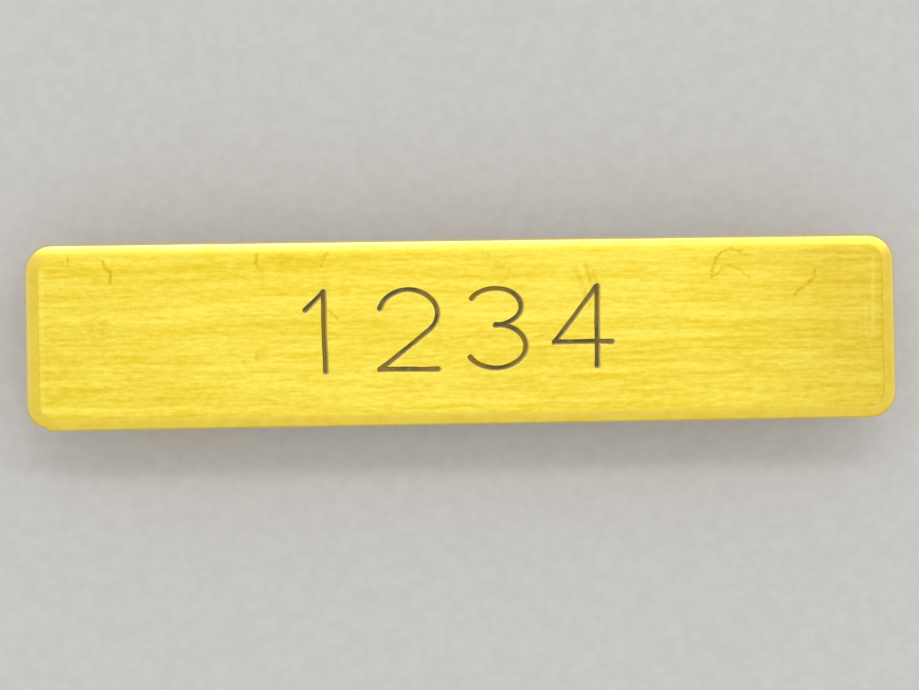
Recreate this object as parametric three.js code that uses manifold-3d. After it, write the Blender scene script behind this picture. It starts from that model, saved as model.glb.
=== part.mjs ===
// A brushed brass name badge lying face up on its two clutch backs.
// The plate has rounded corners, a softly rounded rim and a dented lower left corner, and plain
// placeholder digits are cut into its face and filled with dark paint. Two pin posts on the back
// go into two round clutches.
//
// Units are millimetres. +X runs along the plate, +Y is the way up of the digits and +Z points out
// of the face. The origin is on the surface that the badge lies on, under the middle of the plate.
import * as THREE from "three";
import { mergeVertices } from "three/addons/utils/BufferGeometryUtils.js";
import Module from "manifold-3d";

// Plate
const PLATE_LENGTH = 60.3;
const PLATE_HEIGHT = 12.8;
const PLATE_THICKNESS = 1.6;
const CORNER_RADIUS = 1.9;
const CORNER_STEPS = 8;
// Rim: a small round edge, then a shallow bevel that runs out smoothly into the face. The bevel is
// steepest at the edge, where its slope is BEVEL_CURVE times its mean slope.
const EDGE_RADIUS = 0.2;
const EDGE_STEPS = 3;
const BEVEL_WIDTH = 0.8;
const BEVEL_DROP = 0.1;
const BEVEL_CURVE = 1.5;
const BEVEL_STEPS = 4;

// Dent in the lower left corner, as left by a knock against a round edge. Its direction is taken
// round the corner arc's centre.
const DENT_DEPTH = 0.14;
const DENT_TOOL_RADIUS = 1.2;
const DENT_DIRECTION_DEG = 245;

// Engraved digits, each stroke cut by a round tapered cutter
const DIGIT_HEIGHT = 5.5;
const DIGIT_WIDTH = 4.0;
const DIGIT_PITCH = 6.05;
const DIGIT_ROW_CENTRE_X = -0.8;
const DIGIT_ROW_CENTRE_Y = 0.15;
const DIGIT_ROW_TILT_DEG = 0.2;
const CUT_DEPTH = 0.32;
const CUT_MOUTH_WIDTH = 0.46;
const CUT_FLOOR_WIDTH = 0.2;
const ARC_STEP_DEG = 18;
const CUT_END_STEPS = 8;
// How far a cutting tool stands out of the plate
const TOOL_OVERSHOOT = 0.2;

// Paint laid in the cuts
const PAINT_THICKNESS = 0.14;
const PAINT_GAP = 0.02;

// Clutch backs, both of them closed at the end that the badge lies on, and set in from the plate's
// ends by CLUTCH_INSET
const CLUTCH_INSET = 11.15;
const CLUTCH_HEIGHT = 5.6;
const CLUTCH_FLANGE_DIAMETER = 11;
const CLUTCH_FLANGE_THICKNESS = 0.9;
const CLUTCH_BARREL_DIAMETER = 7.4;
const CLUTCH_EDGE_RADIUS = 0.8;
const CLUTCH_EDGE_STEPS = 4;
const CLUTCH_RIM_CHAMFER = 0.2;
const CLUTCH_END_WALL = 0.8;

// Pin posts
const POST_DIAMETER = 1.2;
const POST_HEAD_DIAMETER = 4.6;
const POST_HEAD_THICKNESS = 0.4;
const POST_TIP_LENGTH = 1.0;
const POST_TIP_DIAMETER = 0.3;
const POST_BORE_CLEARANCE = 0.12;
const POST_TIP_ROOM = 0.4;

const SEAT_GAP = 0.05;
const TURNED_SIDES = 36;

// Heights above the surface, from the stack of clutch, post head and plate
const POST_HEAD_UNDERSIDE = CLUTCH_HEIGHT + SEAT_GAP;
const PLATE_BACK = POST_HEAD_UNDERSIDE + POST_HEAD_THICKNESS + SEAT_GAP;
const PLATE_FACE = PLATE_BACK + PLATE_THICKNESS;
const CUT_FLOOR = PLATE_FACE - CUT_DEPTH;

const BRASS = { color: 0xf8dc47, metalness: 1, roughness: 0.38 };
const FINISHES = {
  plate: new THREE.MeshStandardMaterial(BRASS),
  paint: new THREE.MeshStandardMaterial({ color: 0x4a4438, metalness: 0, roughness: 0.55 }),
  post: new THREE.MeshStandardMaterial({ color: 0xd8bd6a, metalness: 1, roughness: 0.3 }),
  clutch: new THREE.MeshStandardMaterial({ color: 0xe2c25c, metalness: 1, roughness: 0.32 }),
};

// The digits, and how the engraver's hand left each one: its lean and its shift up the plate.
const DIGITS = [
  { digit: 1, leanDeg: 0.8, shift: -0.04 },
  { digit: 2, leanDeg: -0.5, shift: 0.02 },
  { digit: 3, leanDeg: 0.4, shift: 0.0 },
  { digit: 4, leanDeg: -0.7, shift: 0.05 },
];

// The strokes of each digit, in shares of the digit's width and height
const STROKES = {
  1: [line(0.24, 0.78, 0.56, 1), line(0.56, 1, 0.56, 0)],
  2: [[...arc(0.5, 0.7, 0.5, 0.3, 168, -46), point(0, 0)], line(0, 0, 1, 0)],
  3: [arc(0.49, 0.77, 0.45, 0.23, 152, -90), arc(0.49, 0.27, 0.51, 0.27, 90, -152)],
  4: [line(0.74, 1, 0, 0.3), line(0, 0.3, 1, 0.3), line(0.74, 1, 0.74, 0)],
};

function point(x, y) {
  return new THREE.Vector2(x, y);
}

function line(x0, y0, x1, y1) {
  return [point(x0, y0), point(x1, y1)];
}

// An arc round a centre, clockwise where its last angle is the smaller one.
function arc(centreX, centreY, radiusX, radiusY, fromDeg, toDeg) {
  const steps = Math.ceil(Math.abs(toDeg - fromDeg) / ARC_STEP_DEG);
  const points = [];
  for (let i = 0; i <= steps; i++) {
    const angle = THREE.MathUtils.degToRad(THREE.MathUtils.lerp(fromDeg, toDeg, i / steps));
    points.push(point(centreX + radiusX * Math.cos(angle), centreY + radiusY * Math.sin(angle)));
  }
  return points;
}

const wasm = await Module();
wasm.setup();

// A closed geometry as a manifold-3d solid.
function toSolid(geometry) {
  const bare = geometry.clone().deleteAttribute("normal").deleteAttribute("uv");
  const merged = mergeVertices(bare, 1e-5);
  return new wasm.Manifold(
    new wasm.Mesh({
      numProp: 3,
      vertProperties: merged.attributes.position.array,
      triVerts: new Uint32Array(merged.index.array),
    }),
  );
}

// A manifold-3d solid as a flat-shaded geometry.
function toGeometry(solid) {
  const mesh = solid.getMesh();
  const geometry = new THREE.BufferGeometry();
  geometry.setAttribute("position", new THREE.BufferAttribute(mesh.vertProperties, 3));
  geometry.setIndex(new THREE.BufferAttribute(mesh.triVerts, 1));
  const flat = geometry.toNonIndexed();
  flat.computeVertexNormals();
  return flat;
}

// A closed solid through rings of points, lowest first, each ring counter-clockwise from above
// and with as many points as the others. The two end rings are capped.
function loft(rings) {
  const count = rings[0].length;
  const positions = rings.flat().flatMap((corner) => corner.toArray());
  const index = [];
  for (let level = 0; level + 1 < rings.length; level++) {
    for (let i = 0; i < count; i++) {
      const next = (i + 1) % count;
      const a = level * count + i;
      const b = level * count + next;
      index.push(a, b, b + count, a, b + count, a + count);
    }
  }
  const outline = rings[0].map(({ x, y }) => point(x, y));
  const top = (rings.length - 1) * count;
  for (const [a, b, c] of THREE.ShapeUtils.triangulateShape(outline, [])) {
    index.push(a, c, b);
    index.push(top + a, top + b, top + c);
  }
  const geometry = new THREE.BufferGeometry();
  geometry.setAttribute("position", new THREE.Float32BufferAttribute(positions, 3));
  geometry.setIndex(index);
  return geometry;
}

// A solid turned round Z from a profile of [radius, z] points that starts and ends on the axis,
// lowest point first.
function turned(profile) {
  const corners = profile.map(([radius, z]) => point(radius, z));
  const geometry = new THREE.LatheGeometry(corners, TURNED_SIDES);
  geometry.rotateX(Math.PI / 2);
  return geometry;
}

// The plate's outline at one height, set in from its side by inset.
function plateRing(inset, z) {
  const radius = CORNER_RADIUS - inset;
  const centreX = PLATE_LENGTH / 2 - CORNER_RADIUS;
  const centreY = PLATE_HEIGHT / 2 - CORNER_RADIUS;
  const ring = [];
  for (const [signX, signY, startDeg] of [[1, 1, 0], [-1, 1, 90], [-1, -1, 180], [1, -1, 270]]) {
    for (let i = 0; i <= CORNER_STEPS; i++) {
      const angle = THREE.MathUtils.degToRad(startDeg + (90 * i) / CORNER_STEPS);
      const x = signX * centreX + radius * Math.cos(angle);
      const y = signY * centreY + radius * Math.sin(angle);
      ring.push(new THREE.Vector3(x, y, z));
    }
  }
  return ring;
}

// The rim's profile from the side up to the face, as pairs of inset and depth below the face.
function rimProfile() {
  const edgeSlope = Math.atan((BEVEL_CURVE * BEVEL_DROP) / BEVEL_WIDTH);
  const edgeWidth = EDGE_RADIUS * (1 - Math.sin(edgeSlope));
  const edgeDrop = EDGE_RADIUS * Math.cos(edgeSlope);
  const profile = [];
  for (let i = 0; i < EDGE_STEPS; i++) {
    const angle = ((Math.PI / 2 - edgeSlope) * i) / EDGE_STEPS;
    const inset = EDGE_RADIUS * (1 - Math.cos(angle));
    profile.push([inset, BEVEL_DROP + edgeDrop - EDGE_RADIUS * Math.sin(angle)]);
  }
  for (let i = 0; i <= BEVEL_STEPS; i++) {
    const share = i / BEVEL_STEPS;
    profile.push([edgeWidth + BEVEL_WIDTH * share, BEVEL_DROP * (1 - share) ** BEVEL_CURVE]);
  }
  return profile;
}

// The uncut plate: a flat back, straight sides and the rim.
function plateBlank() {
  const rim = rimProfile().map(([inset, depth]) => plateRing(inset, PLATE_FACE - depth));
  return loft([plateRing(0, PLATE_BACK), ...rim]);
}

// The upright round tool that leaves the dent, biting into the lower left corner's arc.
function dentTool() {
  const direction = THREE.MathUtils.degToRad(DENT_DIRECTION_DEG);
  const reach = CORNER_RADIUS - DENT_DEPTH + DENT_TOOL_RADIUS;
  const x = CORNER_RADIUS - PLATE_LENGTH / 2 + reach * Math.cos(direction);
  const y = CORNER_RADIUS - PLATE_HEIGHT / 2 + reach * Math.sin(direction);
  const length = PLATE_THICKNESS + 2 * TOOL_OVERSHOOT;
  const tool = new THREE.CylinderGeometry(DENT_TOOL_RADIUS, DENT_TOOL_RADIUS, length, TURNED_SIDES);
  tool.rotateX(Math.PI / 2);
  tool.translate(x, y, PLATE_BACK + PLATE_THICKNESS / 2);
  return tool;
}

// The outline of a round-ended stroke along a path, radius to each side, counter-clockwise.
function strokeOutline(path, radius) {
  const last = path.length - 1;
  // The way to the right of the path at each of its points, longer where the path bends.
  const sides = path.map((here, i) => {
    const before = path[Math.max(i - 1, 0)];
    const after = path[Math.min(i + 1, last)];
    const along = after.clone().sub(before).normalize();
    const step = i > 0 ? here.clone().sub(before) : after.clone().sub(here);
    const bend = step.normalize().dot(along);
    return point(along.y, -along.x).multiplyScalar(1 / bend);
  });
  const offset = (i, distance) => path[i].clone().addScaledVector(sides[i], distance);
  const roundEnd = (centre, side) => {
    const start = side.angle();
    const corners = [];
    for (let i = 1; i < CUT_END_STEPS; i++) {
      const angle = start + (Math.PI * i) / CUT_END_STEPS;
      corners.push(point(Math.cos(angle), Math.sin(angle)).multiplyScalar(radius).add(centre));
    }
    return corners;
  };
  return [
    ...path.map((_, i) => offset(i, radius)),
    ...roundEnd(path[last], sides[last]),
    ...path.map((_, i) => offset(last - i, -radius)),
    ...roundEnd(path[0], sides[0].clone().negate()),
  ];
}

// A digit's strokes as paths on the plate.
function digitPaths({ digit, leanDeg, shift }, position) {
  const middle = point(0, 0);
  const cellX = (position - (DIGITS.length - 1) / 2) * DIGIT_PITCH;
  const place = (share) =>
    point((share.x - 0.5) * DIGIT_WIDTH, (share.y - 0.5) * DIGIT_HEIGHT)
      .rotateAround(middle, THREE.MathUtils.degToRad(leanDeg))
      .add(point(cellX, shift))
      .rotateAround(middle, THREE.MathUtils.degToRad(DIGIT_ROW_TILT_DEG))
      .add(point(DIGIT_ROW_CENTRE_X, DIGIT_ROW_CENTRE_Y));
  return STROKES[digit].map((path) => path.map(place));
}

// Half the cut's width at a height above its floor, less a gap to its walls.
function cutRadius(height, gap) {
  const share = height / CUT_DEPTH;
  return THREE.MathUtils.lerp(CUT_FLOOR_WIDTH, CUT_MOUTH_WIDTH, share) / 2 - gap;
}

// The strokes of one digit joined into one solid that fills the cut between two heights above its
// floor.
function strokesSolid(paths, low, high, gap) {
  const ring = (path, height) =>
    strokeOutline(path, cutRadius(height, gap)).map(
      ({ x, y }) => new THREE.Vector3(x, y, CUT_FLOOR + height),
    );
  return paths
    .map((path) => toSolid(loft([ring(path, low), ring(path, high)])))
    .reduce((joined, stroke) => joined.add(stroke));
}

function namePlate() {
  const cutterTop = CUT_DEPTH + TOOL_OVERSHOOT;
  const cuts = DIGITS.map((digit, i) => strokesSolid(digitPaths(digit, i), 0, cutterTop, 0));
  const blank = toSolid(plateBlank()).subtract(toSolid(dentTool()));
  return toGeometry(cuts.reduce((plate, cut) => plate.subtract(cut), blank));
}

function digitPaint(digit, position) {
  const top = PAINT_GAP + PAINT_THICKNESS;
  return toGeometry(strokesSolid(digitPaths(digit, position), PAINT_GAP, top, PAINT_GAP));
}

// A nail-like post: a thin round head on the plate's back and a pointed shank below it.
function pinPost() {
  const head = POST_HEAD_DIAMETER / 2;
  const shank = POST_DIAMETER / 2;
  const tip = CLUTCH_END_WALL + POST_TIP_ROOM;
  return turned([
    [0, tip],
    [POST_TIP_DIAMETER / 2, tip],
    [shank, tip + POST_TIP_LENGTH],
    [shank, POST_HEAD_UNDERSIDE],
    [head, POST_HEAD_UNDERSIDE],
    [head, POST_HEAD_UNDERSIDE + POST_HEAD_THICKNESS],
    [0, POST_HEAD_UNDERSIDE + POST_HEAD_THICKNESS],
  ]);
}

// A round clutch: a barrel with a rounded lower edge, a flange at the top, and a blind bore for
// the post.
function clutchBack() {
  const barrel = CLUTCH_BARREL_DIAMETER / 2;
  const flange = CLUTCH_FLANGE_DIAMETER / 2;
  const flangeUnderside = CLUTCH_HEIGHT - CLUTCH_FLANGE_THICKNESS;
  const bore = POST_DIAMETER / 2 + POST_BORE_CLEARANCE;
  const profile = [[0, 0]];
  for (let i = 0; i <= CLUTCH_EDGE_STEPS; i++) {
    const angle = ((Math.PI / 2) * i) / CLUTCH_EDGE_STEPS;
    const radius = barrel - CLUTCH_EDGE_RADIUS * (1 - Math.sin(angle));
    profile.push([radius, CLUTCH_EDGE_RADIUS * (1 - Math.cos(angle))]);
  }
  profile.push(
    [barrel, flangeUnderside],
    [flange - CLUTCH_RIM_CHAMFER, flangeUnderside],
    [flange, flangeUnderside + CLUTCH_RIM_CHAMFER],
    [flange, CLUTCH_HEIGHT - CLUTCH_RIM_CHAMFER],
    [flange - CLUTCH_RIM_CHAMFER, CLUTCH_HEIGHT],
    [bore, CLUTCH_HEIGHT],
    [bore, CLUTCH_END_WALL],
    [0, CLUTCH_END_WALL],
  );
  return turned(profile);
}

function addPiece(group, name, geometry, material, x = 0) {
  const mesh = new THREE.Mesh(geometry, material);
  mesh.name = name;
  mesh.position.x = x;
  group.add(mesh);
}

const badge = new THREE.Group();
addPiece(badge, "name_plate", namePlate(), FINISHES.plate);
DIGITS.forEach((digit, i) => {
  addPiece(badge, `digit_paint_${i + 1}`, digitPaint(digit, i), FINISHES.paint);
});
for (const [side, sign] of [["left", -1], ["right", 1]]) {
  const x = sign * (PLATE_LENGTH / 2 - CLUTCH_INSET);
  addPiece(badge, `pin_post_${side}`, pinPost(), FINISHES.post, x);
  addPiece(badge, `clutch_${side}`, clutchBack(), FINISHES.clutch, x);
}

export default badge;
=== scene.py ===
"""A brushed brass name badge that lies face up on its two clutch backs, photographed from above.

The plate, the paint in its engraved digits, the two pin posts and the two clutches are each built
as a fine mesh with a finish of its own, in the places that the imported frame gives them. Shapes are
worked out in millimetres and turned into Blender's metres as each mesh is made.
"""

import logging
import math
from dataclasses import dataclass
from enum import Enum
from typing import ClassVar, Sequence

import bpy
from mathutils import Matrix, Vector, noise


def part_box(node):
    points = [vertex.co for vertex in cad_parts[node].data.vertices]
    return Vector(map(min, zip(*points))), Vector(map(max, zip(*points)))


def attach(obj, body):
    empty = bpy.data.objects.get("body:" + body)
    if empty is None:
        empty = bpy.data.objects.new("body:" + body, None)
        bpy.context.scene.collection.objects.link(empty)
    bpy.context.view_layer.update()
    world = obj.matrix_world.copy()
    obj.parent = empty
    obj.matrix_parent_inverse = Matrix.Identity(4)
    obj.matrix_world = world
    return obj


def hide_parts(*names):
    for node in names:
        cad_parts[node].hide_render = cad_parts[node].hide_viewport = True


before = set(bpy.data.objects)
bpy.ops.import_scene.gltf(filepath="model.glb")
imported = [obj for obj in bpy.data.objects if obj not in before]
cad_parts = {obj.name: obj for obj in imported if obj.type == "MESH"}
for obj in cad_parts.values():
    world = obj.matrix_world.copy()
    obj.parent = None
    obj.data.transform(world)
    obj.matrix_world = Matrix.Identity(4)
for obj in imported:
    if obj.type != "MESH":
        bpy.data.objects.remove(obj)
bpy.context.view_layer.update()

MM = 0.001
BODY = "root"

# How near its axis a turned profile starts and ends, in millimetres, so that its caps have an area
AXIS_GAP = 0.02

# The most degrees between two points of a turned piece's rounded edge
ROUNDING_STEP_DEG = 11.25

# The range that most values of a noise lie in
NOISE_SPAN = (0.3, 0.7)

# How far a step of a noise's seed moves it along X, Y and Z
SEED_STEPS = (1.0, 1.7, 2.3)

# Factors that flatten a place onto the plate's face
FLAT = (1.0, 1.0, 0.0)

# A distance, in millimetres, that is past every mark's reach
FAR_OFF = 1000.0

# How far the row of digits leans to the left as a whole, and how far each digit leans beyond that
ROW_LEAN_DEG = 0.2
DIGIT_LEANS_DEG = (0.8, -0.5, 0.4, -0.7)

logging.basicConfig(level=logging.INFO, format="%(message)s")
log = logging.getLogger("name_badge")

Colour = tuple[float, float, float]
Point = tuple[float, float]
Shape = tuple[list[Vector], list[tuple[int, ...]]]
Socket = bpy.types.NodeSocket


class Side(Enum):
    """The badge's two fasteners, by the end of the plate that each is nearer to."""

    LEFT = "left"
    RIGHT = "right"


class Slot(Enum):
    """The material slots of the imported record."""

    PLATE = "plate_brass"
    PAINT = "engraving_paint"
    POST = "post_brass"
    CLUTCH = "clutch_brass"


class Carving(Enum):
    """How one solid changes another."""

    JOIN = "UNION"
    CUT = "DIFFERENCE"


class Solver(Enum):
    """How the new surface of a carved solid is worked out."""

    EXACT = "EXACT"
    MANIFOLD = "MANIFOLD"


class Sum(Enum):
    """The sums that a node graph needs."""

    ADD = "ADD"
    SUBTRACT = "SUBTRACT"
    MULTIPLY = "MULTIPLY"
    LARGER = "MAXIMUM"
    SMALLER = "MINIMUM"
    SIZE = "ABSOLUTE"


class Tone(Enum):
    """Whether a mark on the face looks darker or lighter than the brass round it."""

    DARK = "dark"
    LIGHT = "light"


def node_box(node: str) -> tuple[Vector, Vector]:
    """Gives a node's box in the frame.

    Args:
        node: The node's name.

    Returns:
        Its lowest and its highest corner, in millimetres.
    """
    low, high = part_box(node)
    return low / MM, high / MM


def ripple(distance: float, wavelength: float, seed: float) -> float:
    """Gives a smooth, steady wave without a fixed beat.

    Args:
        distance: Where along it, in millimetres.
        wavelength: Its rough wavelength, in millimetres.
        seed: Picks one wave of many.

    Returns:
        A value from about -1 to 1.
    """
    return 2.0 * noise.noise(Vector((distance / wavelength, seed, 0.5)))


def loft(rings: Sequence[Sequence[Vector]]) -> Shape:
    """Skins rings of points into one closed solid.

    Args:
        rings: The rings from the lower cap to the upper one, each counter-clockwise from above, all
            of one length.

    Returns:
        The solid's vertices and faces, with the two end rings capped.
    """
    count = len(rings[0])
    vertices = [corner for ring in rings for corner in ring]
    faces: list[tuple[int, ...]] = [tuple(reversed(range(count)))]
    for level in range(len(rings) - 1):
        start = level * count
        for i in range(count):
            j = (i + 1) % count
            faces.append((start + i, start + j, start + count + j, start + count + i))
    top = (len(rings) - 1) * count
    faces.append(tuple(range(top, top + count)))
    return vertices, faces


def on_ellipse(centre: Point, radii: Point, angle: float) -> Point:
    """Gives the point of an ellipse that lies at an angle, in radians."""
    return centre[0] + radii[0] * math.cos(angle), centre[1] + radii[1] * math.sin(angle)


def turn(profile: Sequence[Point], centre: Point, sides: int) -> Shape:
    """Turns a profile round an upright axis into one closed solid.

    Args:
        profile: Pairs of radius and height, from the lower cap to the upper one.
        centre: Where the axis stands.
        sides: How many sides the turned solid has.

    Returns:
        The solid's vertices and faces.
    """
    angles = [math.tau * i / sides for i in range(sides)]
    rings = []
    for radius, height in profile:
        places = [on_ellipse(centre, (radius, radius), angle) for angle in angles]
        rings.append([Vector((*place, height)) for place in places])
    return loft(rings)


def solid(name: str, shape: Shape) -> bpy.types.Object:
    """Makes an object from vertices and faces.

    Args:
        name: The object's name.
        shape: Its vertices in millimetres, and its faces.

    Returns:
        The new object, linked to the scene.
    """
    vertices, faces = shape
    mesh = bpy.data.meshes.new(name)
    mesh.from_pydata([corner * MM for corner in vertices], [], faces)
    mesh.validate()
    made = bpy.data.objects.new(name, mesh)
    bpy.context.scene.collection.objects.link(made)
    return made


def carve(
    target: bpy.types.Object,
    tools: Sequence[bpy.types.Object],
    how: Carving,
    solver: Solver = Solver.EXACT,
) -> None:
    """Joins tools to a solid or cuts them out of it, and removes them.

    Args:
        target: The solid that changes.
        tools: The solids that change it.
        how: Whether they are joined or cut out.
        solver: How the new surface is worked out.
    """
    for tool in tools:
        modifier = target.modifiers.new("carving", "BOOLEAN")
        modifier.operation = how.value
        modifier.solver = solver.value
        modifier.object = tool
    graph = bpy.context.evaluated_depsgraph_get()
    carved = bpy.data.meshes.new_from_object(target.evaluated_get(graph))
    carved.materials.clear()
    target.modifiers.clear()
    plain = target.data
    target.data = carved
    bpy.data.meshes.remove(plain)
    for tool in tools:
        bpy.data.objects.remove(tool)


def smooth(piece: bpy.types.Object, sharp_above_deg: float) -> None:
    """Shades a piece smoothly, apart from its sharp edges.

    Args:
        piece: The piece.
        sharp_above_deg: The angle between two faces above which their edge stays sharp.
    """
    piece.data.shade_smooth()
    piece.data.set_sharp_from_angle(angle=math.radians(sharp_above_deg))


def stand_for(piece: bpy.types.Object, node: str) -> None:
    """Puts a piece in the place of a node.

    Args:
        piece: The piece.
        node: The node that it stands for.
    """
    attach(piece, BODY)
    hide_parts(node)


def report(piece: bpy.types.Object) -> None:
    """Logs a finished piece and how many triangles it has."""
    piece.data.calc_loop_triangles()
    log.info("%s has %d triangles", piece.name, len(piece.data.loop_triangles))


@dataclass(frozen=True)
class Grain:
    """A noise over a piece.

    Attributes:
        cells: How many cells a millimetre holds along X, Y and Z.
        seed: Picks one noise of many.
        detail: How many finer layers it has.
    """

    cells: tuple[float, float, float]
    seed: float
    detail: float = 2.0


class Graph:
    """A material's node graph, with short ways to add the nodes that the finishes share."""

    def __init__(self, name: str) -> None:
        """Makes a new material with an empty graph.

        Args:
            name: The material's name.
        """
        self.material = bpy.data.materials.new(name)
        self.material.use_nodes = True
        self.tree = self.material.node_tree
        self.tree.nodes.clear()
        self.shader = self.node("ShaderNodeBsdfPrincipled")
        output = self.node("ShaderNodeOutputMaterial")
        self.link(self.shader.outputs["BSDF"], output.inputs["Surface"])
        place = self.node("ShaderNodeTexCoord").outputs["Object"]
        self.place = self.stretch(place, (1 / MM, 1 / MM, 1 / MM))

    def node(self, kind: str) -> bpy.types.Node:
        """Adds a node of a kind."""
        return self.tree.nodes.new(kind)

    def link(self, source: Socket, target: Socket) -> None:
        """Links an output to an input."""
        self.tree.links.new(source, target)

    def feed(self, target: Socket, value: Socket | float | Sequence[float]) -> None:
        """Gives an input its value.

        Args:
            target: The input.
            value: An output to link to it, or a fixed value to set on it.
        """
        if isinstance(value, bpy.types.NodeSocket):
            self.link(value, target)
        else:
            target.default_value = value

    def set(self, **values: Socket | float | Sequence[float]) -> None:
        """Gives the shader its values, by input name with underscores for spaces.

        Args:
            **values: Each input's output to link, or its fixed value.
        """
        for name, value in values.items():
            self.feed(self.shader.inputs[name.replace("_", " ")], value)

    def stretch(self, vector: Socket, factors: Sequence[float]) -> Socket:
        """Scales a vector by a factor on each axis."""
        return self.vector_sum(Sum.MULTIPLY, vector, factors)

    def shift(self, vector: Socket, offset: Socket | Sequence[float]) -> Socket:
        """Adds an offset to a vector."""
        return self.vector_sum(Sum.ADD, vector, offset)

    def vector_sum(self, how: Sum, vector: Socket, value: Socket | Sequence[float]) -> Socket:
        """Does one sum on each part of a vector.

        Args:
            how: The sum.
            vector: The vector.
            value: What is added to it, or what it is multiplied by, on each axis.

        Returns:
            The resulting vector.
        """
        made = self.node("ShaderNodeVectorMath")
        made.operation = how.value
        self.link(vector, made.inputs[0])
        self.feed(made.inputs[1], value)
        return made.outputs[0]

    def sum(self, how: Sum, first: Socket | float, second: Socket | float = 0.0) -> Socket:
        """Does one sum.

        Args:
            how: The sum.
            first: Its first value.
            second: Its second value, where it takes one.

        Returns:
            The result.
        """
        made = self.node("ShaderNodeMath")
        made.operation = how.value
        self.feed(made.inputs[0], first)
        self.feed(made.inputs[1], second)
        return made.outputs[0]

    def part(self, vector: Socket, axis: str) -> Socket:
        """Takes one part out of a vector.

        Args:
            vector: The vector.
            axis: The part's axis, X, Y or Z.

        Returns:
            The part.
        """
        made = self.node("ShaderNodeSeparateXYZ")
        self.link(vector, made.inputs[0])
        return made.outputs[axis]

    def join(self, **parts: Socket) -> Socket:
        """Makes a vector.

        Args:
            **parts: Its parts, named X, Y and Z. One that isn't given is 0.

        Returns:
            The vector.
        """
        made = self.node("ShaderNodeCombineXYZ")
        for axis, part in parts.items():
            self.link(part, made.inputs[axis])
        return made.outputs[0]

    def add_noise(self, vector: Socket, detail: float = 2.0) -> bpy.types.Node:
        """Adds a noise that follows a vector.

        Args:
            vector: The vector, which moves by 1 from one cell to the next.
            detail: How many finer layers the noise has.

        Returns:
            The noise's node.
        """
        made = self.node("ShaderNodeTexNoise")
        self.link(vector, made.inputs["Vector"])
        made.inputs["Scale"].default_value = 1.0
        made.inputs["Detail"].default_value = detail
        return made

    def grain(self, grain: Grain) -> Socket:
        """Lays a noise over the piece.

        Args:
            grain: The noise.

        Returns:
            Its value, from about 0.25 to 0.75.
        """
        offset = tuple(step * grain.seed for step in SEED_STEPS)
        cells = self.stretch(self.place, grain.cells)
        return self.add_noise(self.shift(cells, offset), grain.detail).outputs["Fac"]

    def ramp(self, value: Socket, span: Point, result: Point = (0.0, 1.0)) -> Socket:
        """Maps a value smoothly from one range to another, and holds it past the ends.

        Args:
            value: The value.
            span: Where its range starts and ends.
            result: What the start and the end of that range become.

        Returns:
            The mapped value.
        """
        made = self.node("ShaderNodeMapRange")
        made.interpolation_type = "SMOOTHSTEP"
        self.link(value, made.inputs["Value"])
        for name, setting in zip(("From Min", "From Max", "To Min", "To Max"), (*span, *result)):
            made.inputs[name].default_value = setting
        return made.outputs["Result"]

    def blend(self, share: Socket, first: Socket | Colour, second: Socket | Colour) -> Socket:
        """Mixes two colours.

        Args:
            share: How much of the second colour shows, from 0 to 1.
            first: The first colour.
            second: The second colour.

        Returns:
            The mixed colour.
        """
        made = self.node("ShaderNodeMix")
        made.data_type = "RGBA"
        self.link(share, made.inputs["Factor"])
        for socket, colour in ((made.inputs[6], first), (made.inputs[7], second)):
            self.feed(socket, colour if isinstance(colour, bpy.types.NodeSocket) else (*colour, 1.0))
        return made.outputs[2]

    def relief(self, height: Socket, depth_mm: float, strength: float = 1.0) -> Socket:
        """Turns a height into a surface normal.

        Args:
            height: The height, from 0 to 1.
            depth_mm: What a height of 1 stands for, in millimetres.
            strength: How much of the relief shows.

        Returns:
            The normal.
        """
        made = self.node("ShaderNodeBump")
        made.inputs["Strength"].default_value = strength
        made.inputs["Distance"].default_value = depth_mm * MM
        self.link(height, made.inputs["Height"])
        return made.outputs["Normal"]


@dataclass(frozen=True)
class Mark:
    """A scratch, a rubbed line, or a painted shade or highlight line on the plate's face.

    Attributes:
        path: The points that it runs through, in millimetres from the middle of the plate.
        width: How far to each side it fades out, in millimetres.
        strength: How strongly it shows, from 0 to 1.
        tone: Whether it is darker or lighter than the brass.
    """

    path: tuple[Point, ...]
    width: float
    strength: float
    tone: Tone = Tone.DARK


@dataclass(frozen=True)
class Stain:
    """A round stain on the plate's face, with a darker ring at its edge.

    Attributes:
        centre: Its centre, in millimetres from the middle of the plate.
        radius: The radius of its ring, in millimetres.
        width: How far to each side of the ring it fades out, in millimetres.
        strength: How strongly it shows, from 0 to 1.
    """

    centre: Point
    radius: float
    width: float
    strength: float


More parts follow.
